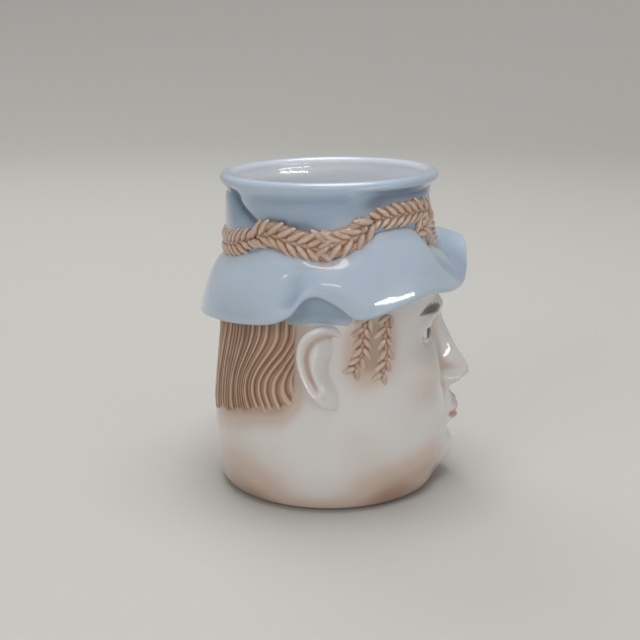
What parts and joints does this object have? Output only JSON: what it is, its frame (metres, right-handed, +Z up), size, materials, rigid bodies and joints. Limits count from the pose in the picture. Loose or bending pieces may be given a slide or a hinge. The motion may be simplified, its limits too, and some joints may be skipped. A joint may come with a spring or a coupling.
{
  "type": "character jug",
  "caption": "Glazed ceramic drinking jug shaped as a head in a floppy blue hat, with wheat ears round the hat, combed hair, and a loop handle.",
  "frame": {"origin": "centre of the flat foot, on the table", "axes": "+Z up through the mouth, -Y the way the face looks, +X to the left side of the head"},
  "size_m": [0.0951, 0.089, 0.1],
  "materials": {
    "flesh_glaze": "clear gloss glaze over a cream body with tan shading",
    "hat_glaze": "clear gloss glaze over pale blue, white inside",
    "straw_glaze": "clear gloss glaze over straw brown, darker in the grooves",
    "eye_glaze": "clear gloss glaze over white with a painted iris"
  },
  "bodies": {
    "root": {"head_cup": "flesh_glaze", "face_mask": "flesh_glaze", "ear_right": "flesh_glaze", "ear_left": "flesh_glaze", "hat_crown": "hat_glaze", "hat_brim": "hat_glaze", "hair_back": "straw_glaze", "handle": "straw_glaze", "eye_right": "eye_glaze", "eye_left": "eye_glaze", "wheat_back_right": "straw_glaze", "wheat_rear_side_right": "straw_glaze", "wheat_fore_side_right": "straw_glaze", "wheat_front_right": "straw_glaze", "wheat_back_left": "straw_glaze", "wheat_rear_side_left": "straw_glaze", "wheat_fore_side_left": "straw_glaze", "wheat_front_left": "straw_glaze", "sideburn_front_right": "straw_glaze", "sideburn_rear_right": "straw_glaze", "sideburn_front_left": "straw_glaze", "sideburn_rear_left": "straw_glaze"}
  },
  "joints": []
}
